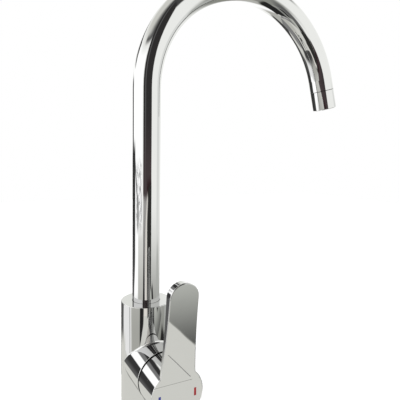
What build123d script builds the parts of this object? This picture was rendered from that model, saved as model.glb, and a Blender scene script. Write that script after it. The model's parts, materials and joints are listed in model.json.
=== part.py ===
"""Single-lever mixer tap with a swan-neck swivel spout and a side lever.

Millimetres, +Z up. The origin is the centre of the foot on the worktop's surface. The spout points
along +X at rest, and the lever's barrel points along -Y. Along the barrel, reach is the distance from
the riser's axis, and rise is the height above the barrel's axis.
"""
import os
from math import cos, radians, sin, sqrt, tan

from build123d import *

os.makedirs("parts", exist_ok=True)

# Clearances shared by every fit
running_gap = 0.05      # a turning or sliding face on its guide
free_gap = 0.3          # faces that pass each other
seat_gap = 0.1          # round a piece that is assembled and stays still

# Spout
tube_radius = 12.5
tube_wall = 1.2
riser_height = 190.0    # deck to the start of the arch
arch_radius = 103.0
arch_sweep = 164.0      # degrees
outlet_straight = 31.8  # arch's end to the mouth
joint_chamfer = 0.3     # shows as the fine line between two turned pieces

# Body
body_radius = 22.6
body_height = 115.0     # deck above the worktop
barrel_inset = 0.3      # barrel smaller than the body, so that the two meet in one smooth line
barrel_drop = 54.7      # barrel's axis below the deck
barrel_reach = 40.4
junction_round = 1.5    # inner corner where the barrel leaves the body
edge_round = 0.5

# Foot
foot_flange = 3.4       # foot ring beyond the body
foot_height = 7.0
foot_plate = 2.5
foot_opening = 17.5
foot_lift = 0.4         # ring held clear of the worktop by its seal
foot_rim = 1.2
foot_round = 1.6
seal_thickness = 2.0
recess_radius = 16.5
recess_depth = 11.5

# Inlets and fixing
inlet_spacing = 14.0
inlet_setback = 5.5
inlet_thread_radius = 4.5
inlet_thread_length = 12.0
inlet_passage_radius = 3.2
stud_radius = 3.0
stud_spacing = 16.0
stud_offset = 9.5
stud_grip = 10.0        # screwed into the body
stud_tail = 10.0        # bare thread under the nuts
worktop_thickness = 35.0
clamp_radius = 24.0
clamp_slot_width = 26.0
clamp_web = 7.0         # from the studs' line to the slot
gasket_thickness = 3.0
plate_thickness = 2.5
nut_height = 5.0
nut_width = 10.0        # across flats

# Spout bearing in the body
socket_depth = 32.5
adapter_foot_gap = 0.5
adapter_land = 1.6
ring_groove_width = 2.6
ring_section_radius = 1.2
lock_groove_width = 3.4
lock_groove_depth = 2.1
adapter_spigot = 12.0
adapter_bore_radius = 8.5
guide_wall = 1.75
guide_height = 4.0
guide_depth = 2.5       # deck to the upper guide
guide_spacing = 9.0
lock_screw_radius = 2.5
lock_tip_radius = 1.4
lock_screw_sink = 2.0   # below the body's outer surface

# Aerator
aerator_length = 20.0
aerator_wall = 1.8
aerator_spigot = 6.0
aerator_ledge_height = 1.5
aerator_ledge_width = 1.3
aerator_seal_height = 1.7
insert_recess = 2.0     # mouth to the insert's face
insert_wall = 1.4
insert_floor = 2.5
insert_slot = 1.3
insert_rib = 0.9
screen_thickness = 0.4
screen_rings = 3
screen_pitch = 2.4
screen_hole_radius = 0.8

# Cartridge and its seat, with depths from the barrel's mouth
chamber_depth = 32.4
thread_depth = 9.0
thread_wall = 3.3       # barrel's outside to the thread
thread_step = 1.4       # thread to the narrower chamber
inlet_port_rise = 4.6   # above the barrel's axis
mixed_port_drop = 7.0   # below it
port_radius = 2.4
mixed_port_radius = 3.4
mixed_passage_radius = 3.1
passage_overrun = 1.0   # drilled past the port that crosses it
peg_inset = 4.3         # cartridge's edge to the pegs' centres
peg_radius = 1.5
peg_length = 3.0
port_seal_wall = 1.8
port_seal_proud = 0.4
port_seal_recess = 1.2
base_thickness = 4.6
disc_gap = 0.4          # fixed disc to the housing's wall
fixed_disc_thickness = 3.0
disc_port_inner = 5.0   # barrel's axis to the inner ends of the fixed disc's inlet slots
moving_inset = 2.4      # fixed disc's edge to the moving disc's
moving_drop = 1.9       # moving disc's centre below the barrel's axis when shut
moving_disc_thickness = 3.5
mixing_pocket_depth = 1.6
pocket_lobe_radius = 4.4
pocket_lobe_drop = 6.5
carrier_thickness = 4.8
housing_wall = 1.3
housing_roof_depth = 13.2
shoulder_depth = 6.4
shoulder_width = 2.8
neck_depth = 2.4
neck_wall = 1.5
rotor_flange_thickness = 2.2
rotor_slot_length = 14.0

# Stem
pivot_depth = 7.4       # barrel's mouth to the pivot pin
pin_radius = 1.5
pin_inset = 1.45        # rotor's outside to the pin's ends
stem_width = 7.0
stem_shank = 3.5        # square part below the pivot
stem_grip = 8.0         # length inside the handle's boss
ball_rise = 3.3         # disc carrier's foot to the ball's centre
arm_root_radius = 2.8
arm_tip_radius = 1.8
ball_radius = 2.6
ball_flat_radius = 0.8  # turned end of the ball
socket_gap = 0.1
socket_mouth = 1.0

# Nut and dome over the cartridge
nut_collar_height = 3.0
nut_collar_wall = 1.8
nut_slot_width = 4.0
nut_slot_count = 4
dome_gap = 1.4          # dome to the skirt's inner edge as it swings past
dome_wall = 1.4
dome_opening = 12.6

# Handle
skirt_gap = 2.4
skirt_wall = 2.6
handle_length = 30.4    # barrel's mouth to the cap's face
face_wall = 4.4
relief_angle = 24.0     # clears the barrel when the handle is lifted
relief_rise = 1.0
crease_rise = 10.0
blade_lean = 8.0
blade_back_lean = 4.6
blade_root_thickness = 3.6
blade_root_half = 14.8
blade_tip_radius = 12.0
blade_top = 93.2
blade_round = 0.6
boss_radius = 7.5
boss_length = 11.4
tunnel_radius = 4.2
tunnel_inset = 5.0      # boss's end to the grub screw
grub_radius = 2.5
grub_length = 8.0
hex_width = 2.5
hex_depth = 2.5
plug_radius = 3.2
plug_length = 2.6
mark_width = 2.0
mark_height = 6.7
mark_inset = 7.0        # cap's edge to the marks' centres
mark_rise = -1.0
mark_depth = 0.6

# Places that follow from the sizes
barrel_radius = body_radius - barrel_inset
barrel_height = body_height - barrel_drop
foot_radius = body_radius + foot_flange
body_foot = seal_thickness + foot_plate
recess_roof = body_foot + recess_depth
tube_bore = tube_radius - tube_wall
spout_bore = tube_radius + free_gap
adapter_height = 4 * adapter_land + 2 * ring_groove_width + lock_groove_width
socket_floor = body_height - socket_depth
adapter_foot = socket_floor + adapter_foot_gap
tube_foot = adapter_foot + adapter_height
arch_start = body_height + riser_height
lock_height = tube_foot - adapter_land - lock_groove_width / 2
lock_groove_radius = tube_radius - lock_groove_depth
thread_radius = barrel_radius - thread_wall
chamber_radius = thread_radius - thread_step
cartridge_radius = chamber_radius - free_gap
peg_spread = cartridge_radius - peg_inset
disc_radius = cartridge_radius - housing_wall - disc_gap
moving_radius = disc_radius - moving_inset
neck_radius = cartridge_radius - shoulder_width
rotor_radius = neck_radius - neck_wall - running_gap
rotor_flange_radius = cartridge_radius - housing_wall - free_gap
pin_half_length = rotor_radius - pin_inset
seat_reach = barrel_reach - chamber_depth
base_reach = seat_reach + port_seal_proud
disc_reach = base_reach + base_thickness
moving_reach = disc_reach + fixed_disc_thickness
carrier_reach = moving_reach + moving_disc_thickness
housing_roof_reach = barrel_reach - housing_roof_depth
shoulder_reach = barrel_reach - shoulder_depth
neck_reach = barrel_reach - neck_depth
rotor_reach = housing_roof_reach - rotor_flange_thickness - free_gap
pivot_reach = barrel_reach - pivot_depth
ball_reach = carrier_reach + ball_rise
stem_start = pivot_reach - stem_shank
skirt_start = barrel_reach + skirt_gap
cavity_radius = barrel_radius - skirt_wall
dome_radius = sqrt(cavity_radius**2 + (skirt_start - pivot_reach) ** 2) - dome_gap
face_reach = barrel_reach + handle_length
cavity_end = face_reach - face_wall
boss_reach = cavity_end - boss_length
tunnel_reach = boss_reach + tunnel_inset
stem_end = boss_reach + stem_grip
mark_spread = barrel_radius - mark_inset
worktop_underside = -worktop_thickness
plate_top = worktop_underside - gasket_thickness
nut_top = plate_top - plate_thickness
stud_foot = nut_top - nut_height - stud_tail
outlet_x = sin(radians(arch_sweep))
outlet_z = cos(radians(arch_sweep))
barrel_axis = Axis((0, 0, barrel_height), (0, -1, 0))
barrel_section = Plane(origin=(0, 0, barrel_height), x_dir=(0, -1, 0), z_dir=(-1, 0, 0))
inlet_places = [(-inlet_spacing / 2, inlet_setback), (inlet_spacing / 2, inlet_setback)]
stud_places = [(-stud_spacing / 2, -stud_offset), (stud_spacing / 2, -stud_offset)]
cold_port = (-inlet_spacing / 2, inlet_port_rise)
hot_port = (inlet_spacing / 2, inlet_port_rise)
mixed_port = (0, -mixed_port_drop)


def level(height):
    """Horizontal plane at a height above the worktop."""
    return Plane.XY.offset(height)


def across_barrel(reach):
    """Plane across the barrel, facing out, with its y axis upwards."""
    return Plane(origin=(0, -reach, barrel_height), x_dir=(1, 0, 0), z_dir=(0, -1, 0))


def sphere_reach(radius, from_axis):
    """Reach of a sphere round the pivot, at a distance from the barrel's axis."""
    return pivot_reach + sqrt(radius**2 - from_axis**2)


def sphere_from_axis(radius, reach):
    """Distance from the barrel's axis of a sphere round the pivot, at a reach."""
    return sqrt(radius**2 - (reach - pivot_reach) ** 2)


def front_reach(rise):
    """Reach of the handle's leaning front above the crease."""
    return face_reach + (rise - crease_rise) * tan(radians(blade_lean))


# Body: an upright cylinder crossed by the barrel, drilled for water, spout and cartridge
with BuildPart() as body_casting:
    with BuildSketch(level(body_foot)):
        Circle(body_radius)
    extrude(amount=body_height - body_foot)
    with BuildSketch(across_barrel(0)):
        Circle(barrel_radius)
    extrude(amount=barrel_reach)
    fillet(body_casting.edges().filter_by(GeomType.BSPLINE), radius=junction_round)
    deck_edge = body_casting.edges().filter_by(GeomType.CIRCLE).sort_by(Axis.Z)[-1]
    mouth_edge = body_casting.edges().filter_by(GeomType.CIRCLE).sort_by(Axis.Y)[0]
    fillet([deck_edge, mouth_edge], radius=edge_round)
    with BuildSketch(barrel_section):
        with BuildLine():
            Polyline(
                (seat_reach, 0),
                (seat_reach, chamber_radius),
                (barrel_reach - thread_depth, chamber_radius),
                (barrel_reach - thread_depth, thread_radius),
                (barrel_reach, thread_radius),
                (barrel_reach, 0),
                close=True,
            )
        make_face()
    revolve(axis=barrel_axis, mode=Mode.SUBTRACT)
    with BuildSketch(Plane.XZ):
        with BuildLine():
            guide_groove = spout_bore - running_gap + guide_wall
            upper_top = body_height - guide_depth
            lower_top = upper_top - guide_spacing
            Polyline(
                (0, socket_floor),
                (spout_bore, socket_floor),
                (spout_bore, lower_top - guide_height),
                (guide_groove, lower_top - guide_height),
                (guide_groove, lower_top),
                (spout_bore, lower_top),
                (spout_bore, upper_top - guide_height),
                (guide_groove, upper_top - guide_height),
                (guide_groove, upper_top),
                (spout_bore, upper_top),
                (spout_bore, body_height),
                (0, body_height),
                close=True,
            )
        make_face()
    revolve(axis=Axis.Z, mode=Mode.SUBTRACT)
    with BuildSketch(level(body_foot)):
        Circle(recess_radius)
    extrude(amount=recess_depth, mode=Mode.SUBTRACT)
    with BuildSketch(level(recess_roof)):
        with Locations(*inlet_places):
            Circle(inlet_thread_radius)
    extrude(amount=inlet_thread_length, mode=Mode.SUBTRACT)
    with BuildSketch(level(recess_roof)):
        with Locations(*inlet_places):
            Circle(inlet_passage_radius)
    inlet_passage_top = barrel_height + inlet_port_rise + port_radius + passage_overrun
    extrude(amount=inlet_passage_top - recess_roof, mode=Mode.SUBTRACT)
    with BuildSketch(level(recess_roof)):
        with Locations(*stud_places):
            Circle(stud_radius + running_gap)
    extrude(amount=stud_grip + free_gap, mode=Mode.SUBTRACT)
    with BuildSketch(across_barrel(-inlet_setback)):
        with Locations(cold_port, hot_port):
            Circle(port_radius)
    extrude(amount=seat_reach + inlet_setback, mode=Mode.SUBTRACT)
    with BuildSketch(across_barrel(0)):
        with Locations(mixed_port):
            Circle(mixed_port_radius)
    extrude(amount=seat_reach, mode=Mode.SUBTRACT)
    mixed_passage_floor = barrel_height - mixed_port_drop - mixed_port_radius - passage_overrun
    with BuildSketch(level(mixed_passage_floor)):
        Circle(mixed_passage_radius)
    extrude(amount=socket_floor - mixed_passage_floor, mode=Mode.SUBTRACT)
    with BuildSketch(across_barrel(seat_reach - peg_length - free_gap)):
        with Locations((-peg_spread, 0), (peg_spread, 0)):
            Circle(peg_radius + running_gap)
    extrude(amount=peg_length + free_gap, mode=Mode.SUBTRACT)
    with BuildSketch(Plane(origin=(0, 0, lock_height), x_dir=(-1, 0, 0), z_dir=(0, 1, 0))):
        Circle(lock_screw_radius + running_gap)
    extrude(amount=body_radius + edge_round, mode=Mode.SUBTRACT)
body_casting.part.label = "body_casting"
export_step(body_casting.part, "parts/body_casting.step")

# Foot ring: a plate that the body stands on, inside a raised rim
with BuildPart() as base_ring:
    with BuildSketch(Plane.XZ):
        with BuildLine():
            rim_bore = body_radius + seat_gap
            seal_bore = foot_radius - foot_rim
            Polyline(
                (foot_opening, seal_thickness),
                (seal_bore, seal_thickness),
                (seal_bore, foot_lift),
                (foot_radius, foot_lift),
                (foot_radius, foot_height),
                (rim_bore, foot_height),
                (rim_bore, body_foot),
                (foot_opening, body_foot),
                close=True,
            )
        make_face()
    revolve(axis=Axis.Z)
    top_edges = base_ring.edges().filter_by(GeomType.CIRCLE).group_by(Axis.Z)[-1]
    fillet(top_edges.sort_by(SortBy.RADIUS)[-1], radius=foot_round)
base_ring.part.label = "base_ring"
export_step(base_ring.part, "parts/base_ring.step")

# Rubber ring between the foot and the worktop
with BuildPart() as base_seal:
    with BuildSketch(level(0)):
        Circle(foot_radius - foot_rim - seat_gap)
        Circle(foot_opening + free_gap, mode=Mode.SUBTRACT)
    extrude(amount=seal_thickness)
base_seal.part.label = "base_seal"
export_step(base_seal.part, "parts/base_seal.step")

# Threaded rods that hang from the body through the worktop's hole
with BuildPart() as fixing_studs:
    with BuildSketch(level(stud_foot)):
        with Locations(*stud_places):
            Circle(stud_radius)
    extrude(amount=recess_roof + stud_grip - stud_foot)
    chamfer(fixing_studs.edges().filter_by(GeomType.CIRCLE).group_by(Axis.Z)[0], length=edge_round)
fixing_studs.part.label = "fixing_studs"
export_step(fixing_studs.part, "parts/fixing_studs.step")

# Horseshoes under the worktop, open at the back for the inlet tails
clamp_slot_centre = (0, clamp_radius + clamp_web - stud_offset)
with BuildPart() as clamp_gasket:
    with BuildSketch(level(plate_top)):
        Circle(clamp_radius)
        with Locations(clamp_slot_centre):
            Rectangle(clamp_slot_width, 2 * clamp_radius, mode=Mode.SUBTRACT)
        with Locations(*stud_places):
            Circle(stud_radius + free_gap, mode=Mode.SUBTRACT)
    extrude(amount=gasket_thickness)
clamp_gasket.part.label = "clamp_gasket"
export_step(clamp_gasket.part, "parts/clamp_gasket.step")

with BuildPart() as clamp_plate:
    with BuildSketch(level(nut_top)):
        Circle(clamp_radius)
        with Locations(clamp_slot_centre):
            Rectangle(clamp_slot_width, 2 * clamp_radius, mode=Mode.SUBTRACT)
        with Locations(*stud_places):
            Circle(stud_radius + free_gap, mode=Mode.SUBTRACT)
    extrude(amount=plate_thickness)
clamp_plate.part.label = "clamp_plate"
export_step(clamp_plate.part, "parts/clamp_plate.step")

with BuildPart() as fixing_nuts:
    with BuildSketch(level(nut_top - nut_height)):
        with Locations(*stud_places):
            RegularPolygon(nut_width / 2, 6, major_radius=False)
            Circle(stud_radius + running_gap, mode=Mode.SUBTRACT)
    extrude(amount=nut_height)
fixing_nuts.part.label = "fixing_nuts"
export_step(fixing_nuts.part, "parts/fixing_nuts.step")

# Bushes in the deck's bore that carry the turning tube
with BuildPart() as guide_rings:
    for guide_top in (body_height - guide_depth, body_height - guide_depth - guide_spacing):
        with BuildSketch(level(guide_top - guide_height)):
            Circle(tube_radius + running_gap + guide_wall)
            Circle(tube_radius + running_gap, mode=Mode.SUBTRACT)
        extrude(amount=guide_height)
guide_rings.part.label = "guide_rings"
export_step(guide_rings.part, "parts/guide_rings.step")

# Grub screw at the back of the body, with a dog point in the adapter's groove
with BuildPart() as spout_lock_screw:
    screw_tip = lock_groove_radius + free_gap
    screw_shoulder = spout_bore + free_gap
    screw_head = body_radius - lock_screw_sink
    with BuildSketch(Plane(origin=(0, screw_shoulder, lock_height), z_dir=(0, 1, 0))):
        Circle(lock_screw_radius)
    extrude(amount=screw_head - screw_shoulder)
    with BuildSketch(Plane(origin=(0, screw_tip, lock_height), z_dir=(0, 1, 0))):
        Circle(lock_tip_radius)
    extrude(amount=screw_shoulder - screw_tip)
    with BuildSketch(Plane(origin=(0, screw_head, lock_height), z_dir=(0, -1, 0))):
        RegularPolygon(hex_width / 2, 6, major_radius=False)
    extrude(amount=hex_depth, mode=Mode.SUBTRACT)
spout_lock_screw.part.label = "spout_lock_screw"
export_step(spout_lock_screw.part, "parts/spout_lock_screw.step")

# Spout: riser, arch and short straight, bent from one tube
with BuildPart() as spout_tube:
    with BuildLine(Plane.XZ):
        riser = Line((0, tube_foot), (0, arch_start))
        arch = CenterArc((arch_radius, arch_start), arch_radius, 180, -arch_sweep)
        outlet = Line(arch @ 1, arch @ 1 + (arch % 1) * (outlet_straight - aerator_length))
    with BuildSketch(level(tube_foot)):
        Circle(tube_radius)
        Circle(tube_bore, mode=Mode.SUBTRACT)
    sweep()
    tube_end = spout_tube.faces().sort_by_distance(outlet @ 1)[0]
    chamfer(tube_end.outer_wire().edges(), length=joint_chamfer)
spout_tube.part.label = "spout_tube"
export_step(spout_tube.part, "parts/spout_tube.step")

outlet_joint = outlet @ 1
outlet_axis = Axis(outlet_joint, (outlet_x, 0, outlet_z))
outlet_section = Plane(origin=outlet_joint, x_dir=(0, 1, 0), z_dir=(outlet_z, 0, -outlet_x))


def across_outlet(distance):
    """Plane across the outlet, facing the mouth, at a distance below the tube's end."""
    return Plane(
        origin=outlet_joint + Vector(outlet_x, 0, outlet_z) * distance,
        x_dir=(0, 1, 0),
        z_dir=(outlet_x, 0, outlet_z),
    )


# Brass end of the riser: spigot in the tube, then a groove for the lock screw and two for seals
with BuildPart() as spout_adapter:
    with BuildSketch(Plane.XZ):
        with BuildLine():
            seal_groove_radius = spout_bore - running_gap - 2 * ring_section_radius
            lower_groove = adapter_foot + adapter_land
            upper_groove = lower_groove + ring_groove_width + adapter_land
            lock_groove = upper_groove + ring_groove_width + adapter_land
            Polyline(
                (adapter_bore_radius, adapter_foot),
                (tube_radius, adapter_foot),
                (tube_radius, lower_groove),
                (seal_groove_radius, lower_groove),
                (seal_groove_radius, lower_groove + ring_groove_width),
                (tube_radius, lower_groove + ring_groove_width),
                (tube_radius, upper_groove),
                (seal_groove_radius, upper_groove),
                (seal_groove_radius, upper_groove + ring_groove_width),
                (tube_radius, upper_groove + ring_groove_width),
                (tube_radius, lock_groove),
                (lock_groove_radius, lock_groove),
                (lock_groove_radius, lock_groove + lock_groove_width),
                (tube_radius, lock_groove + lock_groove_width),
                (tube_radius, tube_foot),
                (tube_bore, tube_foot),
                (tube_bore, tube_foot + adapter_spigot),
                (adapter_bore_radius, tube_foot + adapter_spigot),
                close=True,
            )
        make_face()
    revolve(axis=Axis.Z)
spout_adapter.part.label = "spout_adapter"
export_step(spout_adapter.part, "parts/spout_adapter.step")

# Rubber rings in the adapter's two seal grooves
with BuildPart() as spout_o_rings:
    for groove in (lower_groove, upper_groove):
        with BuildSketch(Plane.XZ):
            with Locations((seal_groove_radius + ring_section_radius, groove + ring_groove_width / 2)):
                Circle(ring_section_radius)
        revolve(axis=Axis.Z)
spout_o_rings.part.label = "spout_o_rings"
export_step(spout_o_rings.part, "parts/spout_o_rings.step")

# Aerator: a chromed ring screwed up into the tube, with washer, insert and screen inside
aerator_bore = tube_radius - aerator_wall
ledge_bore = aerator_bore - aerator_ledge_width
with BuildPart() as aerator_housing:
    with BuildSketch(outlet_section):
        with BuildLine():
            Polyline(
                (ledge_bore, -aerator_spigot),
                (tube_bore - seat_gap, -aerator_spigot),
                (tube_bore - seat_gap, 0),
                (tube_radius - joint_chamfer, 0),
                (tube_radius, joint_chamfer),
                (tube_radius, aerator_length - edge_round),
                (tube_radius - edge_round, aerator_length),
                (aerator_bore + joint_chamfer, aerator_length),
                (aerator_bore, aerator_length - joint_chamfer),
                (aerator_bore, aerator_ledge_height),
                (ledge_bore, aerator_ledge_height),
                close=True,
            )
        make_face()
    revolve(axis=outlet_axis)
aerator_housing.part.label = "aerator_housing"
export_step(aerator_housing.part, "parts/aerator_housing.step")

insert_radius = aerator_bore - seat_gap
insert_start = aerator_ledge_height + aerator_seal_height
insert_end = aerator_length - insert_recess
with BuildPart() as aerator_seal:
    with BuildSketch(across_outlet(aerator_ledge_height)):
        Circle(insert_radius)
        Circle(ledge_bore, mode=Mode.SUBTRACT)
    extrude(amount=aerator_seal_height)
aerator_seal.part.label = "aerator_seal"
export_step(aerator_seal.part, "parts/aerator_seal.step")

# Insert: a cup whose floor is cut into ring slots, left joined by ribs
with BuildPart() as aerator_insert:
    with BuildSketch(across_outlet(insert_start)):
        Circle(insert_radius)
    extrude(amount=insert_end - insert_start)
    with BuildSketch(across_outlet(insert_start)):
        Circle(insert_radius - insert_wall)
    extrude(amount=insert_end - insert_start - insert_floor, mode=Mode.SUBTRACT)
    slot_pitch = insert_slot + insert_rib
    slot_count = int((insert_radius - insert_wall - insert_rib) / slot_pitch)
    with BuildSketch(across_outlet(insert_end - insert_floor)):
        for ring_index in reversed(range(slot_count)):
            slot_inner = insert_rib + ring_index * slot_pitch
            Circle(slot_inner + insert_slot)
            Circle(slot_inner, mode=Mode.SUBTRACT)
        for rib_turn in (0, 60, 120):
            Rectangle(2 * insert_radius, insert_rib, rotation=rib_turn, mode=Mode.SUBTRACT)
    extrude(amount=insert_floor, mode=Mode.SUBTRACT)
aerator_insert.part.label = "aerator_insert"
export_step(aerator_insert.part, "parts/aerator_insert.step")

# Screen: a thin perforated disc in the insert's cup
with BuildPart() as aerator_screen:
    with BuildSketch(across_outlet(insert_end - insert_floor - screen_thickness)):
        Circle(insert_radius - insert_wall - seat_gap)
        Circle(screen_hole_radius, mode=Mode.SUBTRACT)
        for ring_index in range(1, screen_rings + 1):
            with PolarLocations(ring_index * screen_pitch, 6 * ring_index):
                Circle(screen_hole_radius, mode=Mode.SUBTRACT)
    extrude(amount=screen_thickness)
aerator_screen.part.label = "aerator_screen"
export_step(aerator_screen.part, "parts/aerator_screen.step")

# Cartridge base: carries the port seals and stands on two pegs in the body
port_places = [(cold_port, port_radius), (hot_port, port_radius), (mixed_port, mixed_port_radius)]
with BuildPart() as cartridge_base:
    with BuildSketch(across_barrel(base_reach)):
        Circle(cartridge_radius)
        for place, hole_radius in port_places:
            with Locations(place):
                Circle(hole_radius, mode=Mode.SUBTRACT)
    extrude(amount=base_thickness)
    with BuildSketch(across_barrel(base_reach)):
        for place, hole_radius in port_places:
            with Locations(place):
                Circle(hole_radius + port_seal_wall)
    extrude(amount=port_seal_recess, mode=Mode.SUBTRACT)
    with BuildSketch(across_barrel(seat_reach - peg_length)):
        with Locations((-peg_spread, 0), (peg_spread, 0)):
            Circle(peg_radius)
    extrude(amount=peg_length + port_seal_proud)
cartridge_base.part.label = "cartridge_base"
export_step(cartridge_base.part, "parts/cartridge_base.step")

with BuildPart() as port_seals:
    with BuildSketch(across_barrel(seat_reach)):
        for place, hole_radius in port_places:
            with Locations(place):
                Circle(hole_radius + port_seal_wall - running_gap)
                Circle(hole_radius, mode=Mode.SUBTRACT)
    extrude(amount=port_seal_proud + port_seal_recess)
port_seals.part.label = "port_seals"
export_step(port_seals.part, "parts/port_seals.step")

# Fixed disc: each inlet slot leads from its port towards the barrel's axis
with BuildPart() as fixed_disc:
    with BuildSketch(across_barrel(disc_reach)):
        Circle(disc_radius)
        for port in (cold_port, hot_port):
            inner_end = Vector(port).normalized() * disc_port_inner
            slot_centre = (Vector(port) + inner_end) / 2
            SlotCenterPoint(slot_centre, port, 2 * port_radius, mode=Mode.SUBTRACT)
        with Locations(mixed_port):
            Circle(mixed_port_radius, mode=Mode.SUBTRACT)
    extrude(amount=fixed_disc_thickness - running_gap)
fixed_disc.part.label = "fixed_disc"
export_step(fixed_disc.part, "parts/fixed_disc.step")

# Moving disc: its shallow pocket joins the inlet ports to the mixed port when it slides
with BuildPart() as moving_disc:
    with BuildSketch(across_barrel(moving_reach)):
        with Locations((0, -moving_drop)):
            Circle(moving_radius)
    extrude(amount=moving_disc_thickness)
    with BuildSketch(across_barrel(moving_reach)):
        Circle(port_radius)
        with Locations((0, -pocket_lobe_drop)):
            Circle(pocket_lobe_radius)
        make_hull()
    extrude(amount=mixing_pocket_depth, mode=Mode.SUBTRACT)
moving_disc.part.label = "moving_disc"
export_step(moving_disc.part, "parts/moving_disc.step")

with BuildPart() as disc_carrier:
    with BuildSketch(across_barrel(carrier_reach)):
        with Locations((0, -moving_drop)):
            Circle(moving_radius)
    extrude(amount=carrier_thickness)
    socket_radius = ball_radius + socket_gap
    carrier_top = carrier_reach + carrier_thickness
    with BuildSketch(across_barrel(ball_reach - socket_radius)):
        Circle(socket_radius)
    extrude(amount=carrier_top - ball_reach + socket_radius, mode=Mode.SUBTRACT)
    mouth = disc_carrier.edges().filter_by(GeomType.CIRCLE).sort_by(SortBy.RADIUS)[0:2]
    chamfer(mouth.sort_by(Axis.Y)[0], length=socket_mouth)
disc_carrier.part.label = "disc_carrier"
export_step(disc_carrier.part, "parts/disc_carrier.step")

# Housing: a cup over the discs, with a shoulder for the nut and a neck round the rotor
with BuildPart() as cartridge_housing:
    with BuildSketch(barrel_section):
        with BuildLine():
            Polyline(
                (disc_reach, cartridge_radius - housing_wall),
                (disc_reach, cartridge_radius),
                (shoulder_reach, cartridge_radius),
                (shoulder_reach, neck_radius),
                (neck_reach, neck_radius),
                (neck_reach, rotor_radius + running_gap),
                (housing_roof_reach, rotor_radius + running_gap),
                (housing_roof_reach, cartridge_radius - housing_wall),
                close=True,
            )
        make_face()
    revolve(axis=barrel_axis)
cartridge_housing.part.label = "cartridge_housing"
export_step(cartridge_housing.part, "parts/cartridge_housing.step")

# Rotor: turns in the housing's neck and carries the pivot pin across a slot for the stem
with BuildPart() as cartridge_rotor:
    with BuildSketch(across_barrel(rotor_reach)):
        Circle(rotor_flange_radius)
    extrude(amount=rotor_flange_thickness)
    with BuildSketch(across_barrel(rotor_reach)):
        Circle(rotor_radius)
    extrude(amount=neck_reach - free_gap - rotor_reach)
    with BuildSketch(across_barrel(rotor_reach)):
        Rectangle(stem_width + 2 * free_gap, rotor_slot_length)
    extrude(amount=neck_reach - rotor_reach, mode=Mode.SUBTRACT)
    with BuildSketch(Plane(origin=(-pin_half_length, -pivot_reach, barrel_height), z_dir=(1, 0, 0))):
        Circle(pin_radius)
    extrude(amount=2 * pin_half_length, mode=Mode.SUBTRACT)
cartridge_rotor.part.label = "cartridge_rotor"
export_step(cartridge_rotor.part, "parts/cartridge_rotor.step")

with BuildPart() as pivot_pin:
    with BuildSketch(Plane(origin=(-pin_half_length, -pivot_reach, barrel_height), z_dir=(1, 0, 0))):
        Circle(pin_radius)
    extrude(amount=2 * pin_half_length)
pivot_pin.part.label = "pivot_pin"
export_step(pivot_pin.part, "parts/pivot_pin.step")

# Stem: square where the handle grips it, with a tapered arm and a ball in the disc carrier
with BuildPart() as lever_stem:
    with BuildSketch(across_barrel(stem_start)):
        Rectangle(stem_width, stem_width)
    extrude(amount=stem_end - stem_start)
    chamfer(lever_stem.faces().sort_by(Axis.Y)[0].edges(), length=edge_round)
    with BuildSketch(barrel_section):
        with BuildLine():
            ball_tip = ball_reach - sqrt(ball_radius**2 - ball_flat_radius**2)
            ball_neck = ball_reach + sqrt(ball_radius**2 - arm_tip_radius**2)
            RadiusArc((ball_tip, ball_flat_radius), (ball_neck, arm_tip_radius), ball_radius)
            Polyline(
                (ball_neck, arm_tip_radius),
                (stem_start, arm_root_radius),
                (stem_start, 0),
                (ball_tip, 0),
                (ball_tip, ball_flat_radius),
            )
        make_face()
    revolve(axis=barrel_axis)
    with BuildSketch(Plane(origin=(-stem_width, -pivot_reach, barrel_height), z_dir=(1, 0, 0))):
        Circle(pin_radius + running_gap)
    extrude(amount=2 * stem_width, mode=Mode.SUBTRACT)
lever_stem.part.label = "lever_stem"
export_step(lever_stem.part, "parts/lever_stem.step")

# Retaining nut: screwed into the barrel's mouth, with a slotted collar
nut_bore = neck_radius + free_gap
collar_radius = nut_bore + nut_collar_wall
with BuildPart() as retaining_nut:
    with BuildSketch(barrel_section):
        with BuildLine():
            Polyline(
                (shoulder_reach, nut_bore),
                (shoulder_reach, thread_radius - seat_gap),
                (barrel_reach, thread_radius - seat_gap),
                (barrel_reach, collar_radius),
                (barrel_reach + nut_collar_height, collar_radius),
                (barrel_reach + nut_collar_height, nut_bore),
                close=True,
            )
        make_face()
    revolve(axis=barrel_axis)
    with BuildSketch(across_barrel(barrel_reach + nut_collar_height)):
        with PolarLocations((nut_bore + collar_radius) / 2, nut_slot_count):
            Rectangle(2 * nut_collar_wall, nut_slot_width)
    extrude(amount=-nut_collar_height / 2, mode=Mode.SUBTRACT)
retaining_nut.part.label = "retaining_nut"
export_step(retaining_nut.part, "parts/retaining_nut.step")

# Dome: a zone of a sphere round the pivot, so that the tilting skirt passes it evenly
with BuildPart() as dome_cover:
    with BuildSketch(barrel_section):
        with BuildLine():
            inner_radius = dome_radius - dome_wall
            base_bore = collar_radius + seat_gap
            outer_foot = (barrel_reach, sphere_from_axis(dome_radius, barrel_reach))
            outer_lip = (sphere_reach(dome_radius, dome_opening), dome_opening)
            inner_lip = (sphere_reach(inner_radius, dome_opening), dome_opening)
            base_top = barrel_reach + nut_collar_height + seat_gap
            Line((barrel_reach, base_bore), outer_foot)
            RadiusArc(outer_foot, outer_lip, dome_radius)
            Line(outer_lip, inner_lip)
            RadiusArc(inner_lip, (base_top, sphere_from_axis(inner_radius, base_top)), -inner_radius)
            Line((base_top, sphere_from_axis(inner_radius, base_top)), (base_top, base_bore))
            Line((base_top, base_bore), (barrel_reach, base_bore))
        make_face()
    revolve(axis=barrel_axis)
dome_cover.part.label = "dome_cover"
export_step(dome_cover.part, "parts/dome_cover.step")

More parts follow.
